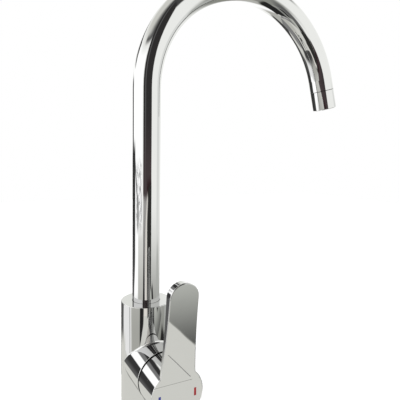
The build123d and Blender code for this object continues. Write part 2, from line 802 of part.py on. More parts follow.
# Handle: blade and skirt in one casting, with a front that leans out above a crease
blade_root_rise = sqrt(barrel_radius**2 - blade_root_half**2)
blade_tip_rise = blade_top - blade_tip_radius
back_root_reach = front_reach(barrel_radius) - blade_root_thickness
back_slope = tan(radians(blade_back_lean))
beyond = 2 * barrel_radius
with BuildPart() as handle:
    with BuildSketch(across_barrel(skirt_start)) as blade_outline:
        with BuildLine():
            right_foot = Line((0, 0), (blade_root_half, 0))
            right_root = Line(right_foot @ 1, (blade_root_half, blade_root_rise))
            right_side = TangentArc((blade_tip_radius, blade_tip_rise), right_root @ 1, tangent=(0, -1))
            ThreePointArc(right_side @ 0, (0, blade_top), (-blade_tip_radius, blade_tip_rise))
            mirror(right_side, about=Plane.YZ)
            mirror(right_root, about=Plane.YZ)
            mirror(right_foot, about=Plane.YZ)
        make_face()
    extrude(amount=face_reach - skirt_start + beyond)
    with BuildSketch(barrel_section):
        with BuildLine():
            Polyline(
                (0, 0),
                (back_root_reach - barrel_radius * back_slope, 0),
                (back_root_reach + blade_top * back_slope, barrel_radius + blade_top),
                (0, barrel_radius + blade_top),
                close=True,
            )
        make_face()
    extrude(amount=beyond, both=True, mode=Mode.SUBTRACT)
    with BuildSketch(across_barrel(skirt_start)):
        Circle(barrel_radius)
    extrude(amount=face_reach - skirt_start + blade_root_thickness)
    with BuildSketch(barrel_section):
        with BuildLine():
            Polyline(
                (face_reach, -beyond),
                (face_reach, crease_rise),
                (front_reach(blade_top + beyond), blade_top + beyond),
                (face_reach + 2 * beyond, blade_top + beyond),
                (face_reach + 2 * beyond, -beyond),
                close=True,
            )
        make_face()
    extrude(amount=beyond, both=True, mode=Mode.SUBTRACT)
    front_faces = handle.faces().filter_by(lambda face: face.normal_at().Y < -0.9)
    blade_back = handle.faces().filter_by(lambda face: face.normal_at().Y > 0.9).sort_by(Axis.Z)[-1]
    front_outline = front_faces.edges()
    skirt_crest = barrel_height + barrel_radius
    back_outline = blade_back.edges().filter_by(lambda edge: edge.center().Z > skirt_crest)
    fillet(front_outline + back_outline, radius=blade_round)
    with BuildSketch(across_barrel(skirt_start)):
        Circle(cavity_radius)
    extrude(amount=cavity_end - skirt_start, mode=Mode.SUBTRACT)
    with BuildSketch(barrel_section):
        with BuildLine():
            relief_reach = skirt_start + (relief_rise + beyond) * tan(radians(relief_angle))
            Polyline(
                (barrel_reach, relief_rise),
                (skirt_start, relief_rise),
                (relief_reach, -beyond),
                (barrel_reach, -beyond),
                close=True,
            )
        make_face()
    extrude(amount=beyond, both=True, mode=Mode.SUBTRACT)
    with BuildSketch(across_barrel(boss_reach)):
        Circle(boss_radius)
    extrude(amount=cavity_end - boss_reach)
    tunnel_mouth = (0, -tunnel_reach, barrel_height - cavity_radius)
    with BuildSketch(Plane(origin=tunnel_mouth, z_dir=(0, 0, 1))):
        Circle(tunnel_radius)
    extrude(amount=cavity_radius - boss_radius / 2)
    with BuildSketch(across_barrel(boss_reach)):
        Rectangle(stem_width + 2 * running_gap, stem_width + 2 * running_gap)
    extrude(amount=stem_end + free_gap - boss_reach, mode=Mode.SUBTRACT)
    screw_mouth = (0, -tunnel_reach, barrel_height - beyond)
    with BuildSketch(Plane(origin=screw_mouth, z_dir=(0, 0, 1))):
        Circle(grub_radius + running_gap)
    extrude(amount=beyond, mode=Mode.SUBTRACT)
    with BuildSketch(Plane(origin=screw_mouth, z_dir=(0, 0, 1))):
        Circle(plug_radius + running_gap)
    extrude(amount=beyond - barrel_radius + plug_length, mode=Mode.SUBTRACT)
    with BuildSketch(across_barrel(face_reach)):
        with Locations((-mark_spread, mark_rise), (mark_spread, mark_rise)):
            Rectangle(mark_width, mark_height)
    extrude(amount=-mark_depth, mode=Mode.SUBTRACT)
handle.part.label = "handle"
export_step(handle.part, "parts/handle.step")

# Grub screw against the stem, and the plug that closes its hole
with BuildPart() as grub_screw:
    screw_top = barrel_height - stem_width / 2
    with BuildSketch(Plane(origin=(0, -tunnel_reach, screw_top), z_dir=(0, 0, -1))):
        Circle(grub_radius)
    extrude(amount=grub_length)
    with BuildSketch(Plane(origin=(0, -tunnel_reach, screw_top - grub_length), z_dir=(0, 0, 1))):
        RegularPolygon(hex_width / 2, 6, major_radius=False)
    extrude(amount=hex_depth, mode=Mode.SUBTRACT)
grub_screw.part.label = "grub_screw"
export_step(grub_screw.part, "parts/grub_screw.step")

with BuildPart() as screw_plug:
    with BuildSketch(Plane(origin=screw_mouth, z_dir=(0, 0, 1))):
        Circle(plug_radius)
    extrude(amount=beyond - barrel_radius + plug_length)
    with BuildSketch(across_barrel(skirt_start)):
        Circle(barrel_radius)
    extrude(amount=face_reach - skirt_start, mode=Mode.INTERSECT)
screw_plug.part.label = "screw_plug"
export_step(screw_plug.part, "parts/screw_plug.step")

# Temperature marks let into the cap, blue on the cold side and red on the hot side
with BuildPart() as blue_mark:
    with BuildSketch(across_barrel(face_reach - mark_depth)):
        with Locations((-mark_spread, mark_rise)):
            Rectangle(mark_width, mark_height)
    extrude(amount=mark_depth)
blue_mark.part.label = "blue_mark"
export_step(blue_mark.part, "parts/blue_mark.step")

with BuildPart() as red_mark:
    with BuildSketch(across_barrel(face_reach - mark_depth)):
        with Locations((mark_spread, mark_rise)):
            Rectangle(mark_width, mark_height)
    extrude(amount=mark_depth)
red_mark.part.label = "red_mark"
export_step(red_mark.part, "parts/red_mark.step")
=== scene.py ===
# %% [markdown]
# # A single-lever mixer tap, dressed for the camera
#
# The packed model already holds every part of the tap in its right place and size: cast body, bent
# spout, cartridge, lever and fixings. This lesson leaves those shapes alone and adds what they lack:
# finishes, cut threads, a studio to stand in and a camera. All lengths are metres, +Z is up, the
# spout points along +X and the lever's barrel along -Y.

# %% Load the packed model
import json
from math import atan, cos, degrees, pi, radians, sin

import bpy
from mathutils import Matrix, Vector


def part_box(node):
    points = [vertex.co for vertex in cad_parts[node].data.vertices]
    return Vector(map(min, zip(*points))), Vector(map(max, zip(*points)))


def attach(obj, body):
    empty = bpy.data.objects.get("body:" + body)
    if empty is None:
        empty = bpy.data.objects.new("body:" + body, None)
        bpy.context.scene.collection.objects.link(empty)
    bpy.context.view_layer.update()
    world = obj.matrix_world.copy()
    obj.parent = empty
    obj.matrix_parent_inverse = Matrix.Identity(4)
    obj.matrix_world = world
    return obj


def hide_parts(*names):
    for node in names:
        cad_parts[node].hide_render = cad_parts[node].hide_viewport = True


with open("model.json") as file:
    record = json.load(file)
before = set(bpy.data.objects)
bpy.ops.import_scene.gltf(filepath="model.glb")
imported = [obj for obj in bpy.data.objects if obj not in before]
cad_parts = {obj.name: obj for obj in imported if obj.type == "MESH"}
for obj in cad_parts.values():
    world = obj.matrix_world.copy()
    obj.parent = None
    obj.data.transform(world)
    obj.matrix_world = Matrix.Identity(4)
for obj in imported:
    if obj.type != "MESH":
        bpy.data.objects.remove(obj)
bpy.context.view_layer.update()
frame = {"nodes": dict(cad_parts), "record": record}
tap = frame["nodes"]

# %% [markdown]
# ## Writing a node tree as arithmetic
#
# A finish is a sum of many small ideas, such as "a little rougher where the noise is high". Placing
# nodes by hand hides those ideas in clicks. Here one class wraps a socket, so that Python's own
# operators add the Math or Vector Math node, and one method adds any other node.

# %% A socket that can be reckoned with
class Wire:
    """An output socket, or only its tree, with arithmetic that adds the nodes for it."""

    def __init__(self, tree, socket=None):
        self.tree = tree
        self.socket = socket

    def node(self, kind, settings=None, inputs=None):
        """Adds a node: settings first, then values or wires for its sockets."""
        made = self.tree.nodes.new(kind)
        for name, value in (settings or {}).items():
            setattr(made, name, value)
        for name, value in (inputs or {}).items():
            if isinstance(value, Wire):
                self.tree.links.new(value.socket, made.inputs[name])
            else:
                made.inputs[name].default_value = value
        return Wire(self.tree, made.outputs[0] if len(made.outputs) else None)

    def output(self, name):
        """Another output of the node that this wire comes from."""
        return Wire(self.tree, self.socket.node.outputs[name])

    def is_vector(self):
        """Whether the socket carries three numbers and not one."""
        return self.socket.type in ("VECTOR", "RGBA")

    def reckon(self, operation, first, second=None):
        """A Math node, or a Vector Math node where this wire is a vector."""
        inputs = {0: first} if second is None else {0: first, 1: second}
        if not self.is_vector():
            return self.node("ShaderNodeMath", {"operation": operation}, inputs)
        for name, value in inputs.items():
            if isinstance(value, (int, float)):
                inputs[name] = (value, value, value)
        return self.node("ShaderNodeVectorMath", {"operation": operation}, inputs)

    def __add__(self, other):
        return self.reckon("ADD", self, other)

    def __radd__(self, other):
        return self.reckon("ADD", other, self)

    def __sub__(self, other):
        return self.reckon("SUBTRACT", self, other)

    def __rsub__(self, other):
        return self.reckon("SUBTRACT", other, self)

    def __mul__(self, other):
        return self.reckon("MULTIPLY", self, other)

    def __rmul__(self, other):
        return self.reckon("MULTIPLY", other, self)

    def turned(self, operation, other=None):
        """A function of one or two numbers, such as SINE, ARCTAN2 or MAXIMUM."""
        return self.reckon(operation, self, other)

    def ease(self, low, high):
        """0 below low, 1 above high, and a soft curve between."""
        settings = {"interpolation_type": "SMOOTHSTEP"}
        return self.node("ShaderNodeMapRange", settings, {0: self, 1: low, 2: high, 3: 0, 4: 1})

    def between(self, low, high, soft):
        """1 from low to high and 0 outside, with edges that are 2 soft wide."""
        return self.ease(low - soft, low + soft) * (1 - self.ease(high - soft, high + soft))

    def choose(self, colour, other):
        """colour where this mask is 0, other where it is 1."""
        made = self.node("ShaderNodeMix", {"data_type": "RGBA"}, {0: self, 6: colour, 7: other})
        return Wire(self.tree, made.socket.node.outputs[2])

    def parts(self):
        """The x, y and z of a vector."""
        made = self.node("ShaderNodeSeparateXYZ", {}, {0: self})
        return [made.output(name) for name in "XYZ"]


print("a wire knows:", [name for name in vars(Wire) if not name.startswith("_")])

# %% [markdown]
# ## Colours and panels
#
# Blender wants a fourth number with each colour, for opacity. It is 1 all through this lesson, so two
# helpers add it. The third helper lays panels over a wall as one would stand boards in front of each
# other: each is a mask with a colour, and a later one covers an earlier one.

# %% Colours and panels
def grey(value):
    return (value, value, value, 1)


def colour(red, green, blue):
    return (red, green, blue, 1)


def lay_panels(panels, walls):
    """Lays each panel's colour over the walls, in turn."""
    for mask, tone in panels:
        walls = mask.choose(walls, tone)
    return walls


print("middle grey:", grey(0.5))

# %% [markdown]
# ## The camera's place
#
# The tap is seen from its left front, from a little above the lever. The place and the lens were
# worked out from the tube's width, the arch and the ellipse that the body's flat top makes. The
# camera's matrix is built from three directions, which is exact and needs no aiming constraint.

# %% Camera
eye = Vector((-0.1298, -0.3436, 0.2447))
pan, tilt, roll = radians(28.22), radians(5.767), radians(1.04)
lens_millimetres = 36.59
sensor_millimetres = 36
ahead = Vector((sin(pan) * cos(tilt), cos(pan) * cos(tilt), -sin(tilt)))
level_right = Vector((cos(pan), -sin(pan), 0))
level_up = level_right.cross(ahead)
camera_right = cos(roll) * level_right + sin(roll) * level_up
camera_up = cos(roll) * level_up - sin(roll) * level_right
camera_data = bpy.data.cameras.new("camera")
camera_data.lens = lens_millimetres
camera_data.sensor_width = sensor_millimetres
camera_data.clip_start = 0.01
camera = bpy.data.objects.new("camera", camera_data)
axes = Matrix((camera_right, camera_up, -ahead)).transposed().to_4x4()
camera.matrix_world = Matrix.Translation(eye) @ axes
bpy.context.scene.collection.objects.link(camera)
bpy.context.scene.camera = camera
bpy.context.scene.view_settings.view_transform = "Standard"
half_view = atan(sensor_millimetres / 2 / lens_millimetres)
print("field of view:", round(2 * degrees(half_view), 1), "degrees")

# %% [markdown]
# ## The room that the chrome mirrors
#
# Polished chrome has almost no look of its own: it shows the room. A plain white room leaves it flat,
# so dark and bright panels stand round it. The world below is that room. Each panel is a range of
# compass angle and of height angle with soft edges, both in degrees. Compass 0 is the lever's side,
# 90 the spout's side, and the camera stands at -21. The numbers were found by following the mirror
# ray of each stripe on the tap back out to the room.

# %% Directions in the room
world = bpy.data.worlds.new("studio")
bpy.context.scene.world = world
world.use_nodes = True
world.node_tree.nodes.clear()
room = Wire(world.node_tree)
looking = room.node("ShaderNodeTexCoord").output("Generated")
look_x, look_y, look_z = looking.parts()
to_degrees = 180 / pi
compass = look_x.turned("ARCTAN2", look_y * -1) * to_degrees
height = look_z.turned("ARCSINE") * to_degrees
walls = colour(0.94, 0.945, 0.92)
print("nodes that find a direction:", len(world.node_tree.nodes))

# %% [markdown]
# The set is painted at the strength that it has after one reflection. Real chrome returns about
# two thirds of the light, so a mirror image of a mirror image is clearly darker: that gives the black
# line where the body mirrors the lever. A real room does this by itself. Here the first reflection is
# already counted in the paint, so a helper dims the later ones only.

# %% Later reflections are dimmer
returned_share = 0.62


def returned(tree, tone):
    """Dims a colour of the set for each mirror reflection after the first."""
    again = tree.node("ShaderNodeLightPath").output("Glossy Depth") - 1
    share = again.reckon("POWER", returned_share, again.turned("MAXIMUM", 0))
    return share.choose(grey(0), tone)


print("strength after three reflections:", round(returned_share**2, 2))

# %% [markdown]
# The upper half is a pale ceiling and one large softbox on the left. The softbox gives the riser its
# white band, and the grey ceiling keeps the top of the arch from burning out. A dark smear high on
# the left, with a slightly paler streak in it, shows on the arch's upper left.

# %% Ceiling and softbox
left_ceiling = height.ease(34, 50) * (1 - compass.ease(-20, 60))
right_ceiling = height.ease(30, 60) * compass.ease(20, 60)
smear = height.ease(37, 45) * compass.ease(-112, -48)
streak = height.between(40, 45, 3) * compass.between(-100, -45, 10)
softer_upwards = 1.5 + 3 * height.ease(0, 20)
softbox = compass.between(-150, -56, 3) * height.between(-19.5, 33, softer_upwards)
walls = lay_panels(
    [
        (left_ceiling, colour(0.66, 0.66, 0.62)),
        (right_ceiling, colour(0.76, 0.77, 0.74)),
        (smear, grey(0.06)),
        (streak, grey(0.10)),
        (softbox, grey(1.2)),
    ],
    walls,
)
print("nodes with the ceiling:", len(world.node_tree.nodes))

# %% [markdown]
# Under the softbox stand its feet. Small dark things cross it just below eye level, and make the
# short dark marks in the riser's white band. Two of them are leaning strokes, one is a low mark, and
# the rest is one noise, cut off at a level so that only its peaks stay as dark lumps.

# %% Feet and small things
under_softbox = 1 - height.ease(-21, -18)
pale_foot = compass.between(-150, -94, 3) * under_softbox
foot_post = compass.between(-103, -99, 1.5) * under_softbox
lumps = room.node("ShaderNodeTexNoise", {}, {"Vector": looking * (20, 20, 48), "Scale": 1, "Detail": 1})
clutter = lumps.ease(0.53, 0.58) * compass.between(-116, -60, 4) * height.between(-10, -0.5, 1)
flat_lean = compass + 108 + (height + 4.5) * 5
flat_stroke = flat_lean.between(-5, 5, 3) * height.between(-8.5, 0, 1)
steep_lean = compass + 66 + (height + 5) * 2.5
steep_stroke = steep_lean.between(-2.5, 2.5, 2) * height.between(-8, -1.5, 1)
low_mark = compass.between(-104, -88, 5) * height.between(-10, -5.8, 1)
walls = lay_panels(
    [
        (pale_foot, grey(0.88)),
        (foot_post, grey(0.35)),
        (clutter, grey(0.13)),
        (flat_stroke, grey(0.12)),
        (steep_stroke, grey(0.45)),
        (low_mark, grey(0.3)),
    ],
    walls,
)
print("nodes with the small things:", len(world.node_tree.nodes))

# %% [markdown]
# Lower still stand a grey and a brown wall, with a dark line near the place where they meet, and the
# ground in front of them is dark with a paler patch. They make the grey stripes of the body.

# %% Low walls on the left
low_wall = compass.between(-92, -46, 5) * (1 - height.ease(-12, -8))
low_wall_foot = low_wall * (1 - height.ease(-24, -9))
brown_wall = compass.between(-47, -8, 3) * (1 - height.ease(-6, -4))
half_line = 2 + 7 * (1 - height.ease(-25, -10))
dark_line = (compass + 41).between(half_line * -1, half_line, 2) * height.between(-50, -9, 2)
near_floor = compass.between(-40, -16, 4) * (1 - height.ease(-22, -18))
left_floor = compass.between(-135, -48, 6) * (1 - height.ease(-39, -29))
pale_floor = compass.between(-60, -20, 6) * (1 - height.ease(-54, -48))
walls = lay_panels(
    [
        (low_wall, colour(0.76, 0.76, 0.73)),
        (low_wall_foot, colour(0.42, 0.42, 0.39)),
        (brown_wall, colour(0.36, 0.35, 0.34)),
        (dark_line, grey(0.015)),
        (near_floor, grey(0.03)),
        (left_floor, grey(0.06)),
        (pale_floor, grey(0.40)),
    ],
    walls,
)
print("nodes with the low walls:", len(world.node_tree.nodes))

# %% [markdown]
# The right side is calm: a grey screen beside the spout and darkness low down, so that the tubes'
# right edges fade gently.

# %% Right side
right_floor = compass.between(14, 140, 8) * (1 - height.ease(-25, -5))
paler_foot = compass.ease(80, 100) * (1 - height.ease(-38, -32))
screen = compass.between(74, 95, 5) * height.between(-27, 11, 3)
screen_top = compass.between(70, 99, 5) * height.between(-12, 14, 2)
front_floor = compass.between(-5, 24, 6) * (1 - height.ease(-30, -23))
walls = lay_panels(
    [
        (right_floor, colour(0.27, 0.275, 0.25)),
        (paler_foot, colour(0.48, 0.48, 0.45)),
        (screen, colour(0.45, 0.46, 0.44)),
        (screen_top, colour(0.76, 0.77, 0.75)),
        (front_floor, grey(0.12)),
    ],
    walls,
)
print("nodes with the right side:", len(world.node_tree.nodes))

# %% [markdown]
# A lit panel behind the tap draws a thin bright line down the tubes' right edges, because a round
# tube mirrors what is behind it at its very edge. A dark place beside the panel keeps that line thin.

# %% Back
back_light = compass.between(130, 152, 6) * (1 - height.ease(20, 30))
back_wall = compass.ease(154, 160) * height.between(3, 32, 2)
back_dark = compass.ease(158, 162) * height.between(-40, 1, 1.5)
walls = lay_panels(
    [
        (back_light, grey(1.15)),
        (back_wall, colour(0.80, 0.81, 0.775)),
        (back_dark, grey(0.06)),
    ],
    walls,
)
print("nodes with the back:", len(world.node_tree.nodes))

# %% [markdown]
# Behind the tap on the left, bright and dark strips lie one above the other. The lever's barrel
# lies on its side, so it shows them as the bold stripes that run along it.

# %% Strips for the barrel
behind_left = 1 - compass.ease(-148, -146)
bright_strip = behind_left * height.between(2, 18, 1.5)
dark_end = (1 - compass.ease(-154, -150)) * height.between(0, 13, 2)
grey_strip = behind_left * height.between(18.5, 31.5, 1)
thin_dark_strip = behind_left * height.between(25.5, 31.5, 1)
black_end = -148 + 22 * height.ease(-22, -13)
black_strip = (1 - (compass - black_end).ease(-3, 3)) * (1 - height.ease(0.5, 3.1))
black_foot = black_strip * (1 - height.ease(-21, -9))
far_left = 1 - compass.ease(-136, -128)
pale_ground = far_left * (1 - height.ease(-25.3, -22.7))
grey_ground = far_left * (1 - height.ease(-46, -42))
walls = lay_panels(
    [
        (bright_strip, grey(1.15)),
        (dark_end, grey(0.08)),
        (grey_strip, grey(0.20)),
        (thin_dark_strip, grey(0.035)),
        (black_strip, grey(0.04)),
        (black_foot, grey(0.11)),
        (pale_ground, colour(0.68, 0.68, 0.64)),
        (grey_ground, grey(0.23)),
    ],
    walls,
)
print("nodes with the strips:", len(world.node_tree.nodes))

# %% [markdown]
# Only mirror rays see the panels. The camera sees white behind the tap, and matt surfaces are lit by
# an even pale light, so their colours come out as they are written.

# %% World
even_light = grey(0.62)
ray = room.node("ShaderNodeLightPath")
mirrored = ray.output("Is Glossy Ray").turned("MAXIMUM", ray.output("Is Transmission Ray"))
lit = mirrored.choose(even_light, returned(room, walls))
seen = ray.output("Is Camera Ray").choose(lit, grey(1))
background = room.node("ShaderNodeBackground", {}, {"Color": seen, "Strength": 1})
room.node("ShaderNodeOutputWorld", {}, {"Surface": background})
print("nodes in the room:", len(world.node_tree.nodes))

# %% [markdown]
# ## Sheets of the set
#
# Floor, boards and cards are flat sheets with four corners, so one helper makes them all, a second
# gives the corners of a level sheet, and a third gives the places on a sheet that its paint is
# worked out from. None of the sheets is part of the tap.

# %% A sheet of the set
def sheet(name, corners):
    """A flat sheet with its own empty material; gives the object and the tree to fill."""
    mesh = bpy.data.meshes.new(name)
    mesh.from_pydata(corners, [], [(0, 1, 2, 3)])
    made = bpy.data.objects.new(name, mesh)
    bpy.context.scene.collection.objects.link(made)
    paint = bpy.data.materials.new(name)
    paint.use_nodes = True
    paint.node_tree.nodes.clear()
    mesh.materials.append(paint)
    print("sheet:", name)
    return made, Wire(paint.node_tree)


def level_corners(left, right, front, back, at):
    return [(left, front, at), (right, front, at), (right, back, at), (left, back, at)]


def places_on(tree):
    """The x, y and z of the places on a sheet, in metres."""
    return tree.node("ShaderNodeNewGeometry").output("Position").parts()


# %% [markdown]
# ## Floor
#
# The tap hangs its fixings through a worktop, which isn't drawn, so the floor lies just under the
# studs and every part can be seen. It is pale and matt, and the camera sees it lifted to white far
# away, so that it has no horizon.

# %% Floor as the camera sees it
floor_gap = 0.0005
floor_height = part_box("fixing_studs")[0].z - floor_gap
floor_reach = 2.5
floor_paint, lift_near, lift_far = grey(0.9), grey(0.28), grey(0.62)
floor_corners = level_corners(-floor_reach, floor_reach, -floor_reach, floor_reach, floor_height)
ground = sheet("floor", floor_corners)[1]
ground_x, ground_y = places_on(ground)[:2]
from_tap = (ground_x * ground_x + ground_y * ground_y).turned("SQRT")
matt = ground.node("ShaderNodeBsdfDiffuse", {}, {"Color": floor_paint})
lift = from_tap.ease(0.15, 1.2).choose(lift_near, lift_far)
glow = ground.node("ShaderNodeEmission", {}, {"Color": lift})
lifted = ground.node("ShaderNodeAddShader", {}, {0: matt, 1: glow})
ray = ground.node("ShaderNodeLightPath")
plain = ground.node("ShaderNodeMixShader", {}, {0: ray.output("Is Camera Ray"), 1: matt, 2: lifted})
print("floor at", round(floor_height, 4))

# %% [markdown]
# A white floor would cover all the low panels in the chrome. So mirror rays pass through it to the
# room, apart from a dark opening beside the tap.

# %% Floor as the chrome sees it
slanting_edge = ground_x - 0.159 - 0.185 * ground_y
opening = slanting_edge.ease(-0.002, 0.002) * (1 - ground_x.ease(0.30, 0.34))
opening = opening * ground_y.between(-0.215, 0.09, 0.012)
opening_dark = grey(0.02)
dark_image = ground.node("ShaderNodeEmission", {}, {"Color": returned(ground, opening_dark)})
clear = ground.node("ShaderNodeBsdfTransparent")
shown = ground.node("ShaderNodeMixShader", {}, {0: opening, 1: clear, 2: dark_image})
blend = ground.node("ShaderNodeMixShader", {}, {0: ray.output("Is Glossy Ray"), 1: plain, 2: shown})
ground.node("ShaderNodeOutputMaterial", {}, {"Surface": blend})
print("nodes of the floor:", len(ground.tree.nodes))

# %% [markdown]
# ## Cards close to the tap
#
# A panel painted on the world is endlessly far, so the riser and the far end of the spout show it at
# the same angle. The black flag stands less than half a metre away, which shifts it from one to the
# other. Such near things are real sheets here. They cast no shadow and only mirror rays see them.

# %% Sheets that only the chrome sees
foot_gap = 0.001


def mirror_only(card, tree, mask, tone):
    """Fills a sheet's material, clear where mask is 0, and hides it from all but mirror rays."""
    image = tree.node("ShaderNodeEmission", {}, {"Color": returned(tree, tone)})
    clear = tree.node("ShaderNodeBsdfTransparent")
    mixed = tree.node("ShaderNodeMixShader", {}, {0: mask, 1: clear, 2: image})
    tree.node("ShaderNodeOutputMaterial", {}, {"Surface": mixed})
    card.visible_camera = False
    card.visible_diffuse = False
    card.visible_shadow = False


def upright(name, start, end, top):
    """An upright sheet on the line from start to end; gives the places along it and above 0."""
    run = Vector(end) - Vector(start)
    room_for_soft_edges = 0.1 * run
    first, last = Vector(start) - room_for_soft_edges, Vector(end) + room_for_soft_edges
    low = floor_height + foot_gap
    corners = [(*first, low), (*last, low), (*last, top), (*first, top)]
    card, tree = sheet(name, corners)
    x, y, z = places_on(tree)
    share = run / run.length_squared
    along = (x - start[0]) * share.x + (y - start[1]) * share.y
    return card, tree, along, z


# %% [markdown]
# A flag is black cloth on a frame, which a studio sets up to keep light off. This one makes the broad
# dark band of the riser and of the spout's far end. Above 45 cm it grows narrower, a paler fold runs
# down it, and its lower part is a warm black with a redder hem, so that the band isn't one flat tone.

# %% The black flag
flag_left, flag_right, flag_top = (-0.352, -0.306), (0.147, -0.5052), 1.7
narrow_above = 0.45
flag, tree, along, z = upright("flag", flag_left, flag_right, flag_top)
narrowing = 0.9 * (z - narrow_above).turned("MAXIMUM", 0)
past_right = along - (1.03 - narrowing)
cloth = along.ease(-0.03, 0.03) * (1 - past_right.ease(-0.03, 0.03)) * z.ease(0.158, 0.178)
fold = along.between(0.22, 0.30, 0.05)
warm_part = 0.75 * (1 - z.ease(0.2, 0.35))
hem = along.ease(0.42, 0.50) * (1 - z.ease(0.19, 0.215))
black_cloth = lay_panels(
    [
        (fold, grey(0.12)),
        (warm_part, colour(0.075, 0.055, 0.058)),
        (hem, colour(0.030, 0.013, 0.015)),
    ],
    colour(0.032, 0.030, 0.030),
)
mirror_only(flag, tree, cloth * (1 - z.ease(0.9, flag_top)), black_cloth)

# %% [markdown]
# Under the flag the chrome would show the bright room again. A dark stand fills that place on the
# right, and its left edge leans so that the dark band runs on without a step.

# %% The dark stand
stand_left, stand_right, stand_top = (-0.0732, -0.2732), (0.142, -0.4124), 0.22
stand, tree, along, z = upright("stand", stand_left, stand_right, stand_top)
past_left = along - 0.14 * z.ease(0.14, 0.19)
stand_shape = past_left.ease(-0.08, 0.08) * (1 - along.ease(0.92, 1.08)) * (1 - z.ease(0.19, 0.21))
mirror_only(stand, tree, stand_shape, colour(0.03, 0.03, 0.028))

# %% [markdown]
# On the left of the stand, a cream card gives the riser and the body a narrow warm stripe. The card
# is wider towards its foot, and its middle moves sideways with the height.

# %% The cream card
cream_left, cream_right, cream_top = (-0.1635, -0.2517), (-0.0573, -0.2945), 0.20
cream, tree, along, z = upright("cream_card", cream_left, cream_right, cream_top)
half = 0.16 + 0.14 * (1 - z.ease(0.10, 0.175)) + 0.15 * (1 - z.ease(-0.03, 0.05))
middle = 0.5 + 0.32 * z.ease(0.13, 0.19)
stripe = (along - middle).between(half * -1, half, 0.08) * (1 - z.ease(0.175, 0.195))
mirror_only(cream, tree, stripe, colour(0.80, 0.77, 0.72))

# %% [markdown]
# The tap stands on a pale board about 27 cm wide. The lever's flat blade mirrors it, and the slanting
# line across the blade is the board's right edge, with a dark place beyond it. Only mirrors see the
# board, because to the camera it would hide the fixings.

# %% The pale board and the dark beside it
board, tree = sheet("board", level_corners(-0.18, 0.28, -0.44, 0.12, 0))
x, y = places_on(tree)[:2]
beyond = x - 0.1246 - 0.256 * y
pale_part = x.ease(-0.143, -0.137) * y.between(-0.30, 0.088, 0.004) * (1 - beyond.ease(-0.001, 0.002))
dark_part = beyond.ease(-0.001, 0.002) * (1 - x.ease(0.22, 0.26))
dark_part = dark_part * y.ease(-0.42, -0.36) * (1 - y.ease(-0.182, -0.176))
fading = (1 - y.ease(-0.32, -0.13)) * (1 - x.ease(0.14, 0.16) * (1 - y.ease(-0.28, -0.25)))
dark_tone = fading.choose(grey(0.03), colour(0.50, 0.51, 0.475))
# The board is painted darker behind and right of the tap: a painted shadow of the tap.
painted_tap_shadow = y.ease(-0.12, -0.06) * x.ease(0.0, 0.04)
pale_tone = painted_tap_shadow.choose(colour(0.675, 0.675, 0.635), colour(0.52, 0.52, 0.48))
either_part = pale_part.turned("MAXIMUM", dark_part)
mirror_only(board, tree, either_part, dark_part.choose(pale_tone, dark_tone))

# %% [markdown]
# A thin wire in front of the lever gives the fine slanting line low on the blade. It is a sheet too,
# since a flat strip that is less than a millimetre wide looks like a wire.

# %% The wire
wire_from, wire_to = Vector((0.0074, -0.1067, 0.065)), Vector((0.0155, -0.0783, 0.065))
wire_radius, wire_cover = 0.0004, 0.8
side = (wire_to - wire_from).cross(Vector((0, 0, 1))).normalized() * wire_radius
ends = (wire_from + side, wire_to + side, wire_to - side, wire_from - side)
thin_wire, tree = sheet("wire", [tuple(corner) for corner in ends])
mirror_only(thin_wire, tree, wire_cover, grey(0.15))
print("wire:", round((wire_to - wire_from).length * 1000, 1), "mm long")

# %% [markdown]
# ## Lamps
#
# Two large soft lamps shape the matt parts: a stronger one on the camera's side and a weaker one that
# fills the shadows. Mirror rays don't see them, so they add no spots.

# %% Lamps
lamps = {"key": ((-1.1, -1.0, 1.7), 18), "fill": ((1.3, -0.7, 1.2), 8)}
lamp_width = 1.2
aim = Vector((0, 0, 0.1))
for name, (place, watts) in lamps.items():
    lamp_data = bpy.data.lights.new(name, "AREA")
    lamp_data.energy = watts
    lamp_data.size = lamp_width
    lamp = bpy.data.objects.new(name, lamp_data)
    lamp.location = place
    lamp.rotation_euler = (aim - Vector(place)).to_track_quat("-Z", "Y").to_euler()
    lamp.visible_glossy = False
    bpy.context.scene.collection.objects.link(lamp)
    print(name, "lamp:", watts, "watts")

# %% [markdown]
# ## Threads on the fixing studs
#
# The studs are M6 threaded rods with 1 mm between crests. A plain rod with a bump map looks smooth
# in outline, so the thread is cut in the mesh: rings of points climb the rod, and each point's
# distance from the rod's axis follows the thread, a sharp valley and a flat crest, one turn ahead
# for each pitch. Both ends taper, as a cut rod's do.

# %% Thread of one rod
pitch = 0.001
thread_depth = 0.00061
taper_length = 0.0008
valley_slope = 1.25
points_round = 24
rings_per_turn = 8


def thread_radius(crest, turn_share, from_end):
    """Distance from the axis at a place in the turn, and at a distance from the nearer end."""
    valley = max(0, 1 - abs(2 * (turn_share % 1) - 1) * valley_slope)
    taper = max(0, taper_length - from_end)
    return crest - min(thread_depth, max(valley * thread_depth, taper))


m6_radius = 0.003
core_radius = thread_radius(m6_radius, 0.5, pitch)
print("core of an M6 rod:", round(2 * core_radius * 1000, 2), "mm across")

# %% [markdown]
# Four neighbouring points make one face, and the two ends are closed with one face each, so that the
# rod is a solid body like the one it stands in for.

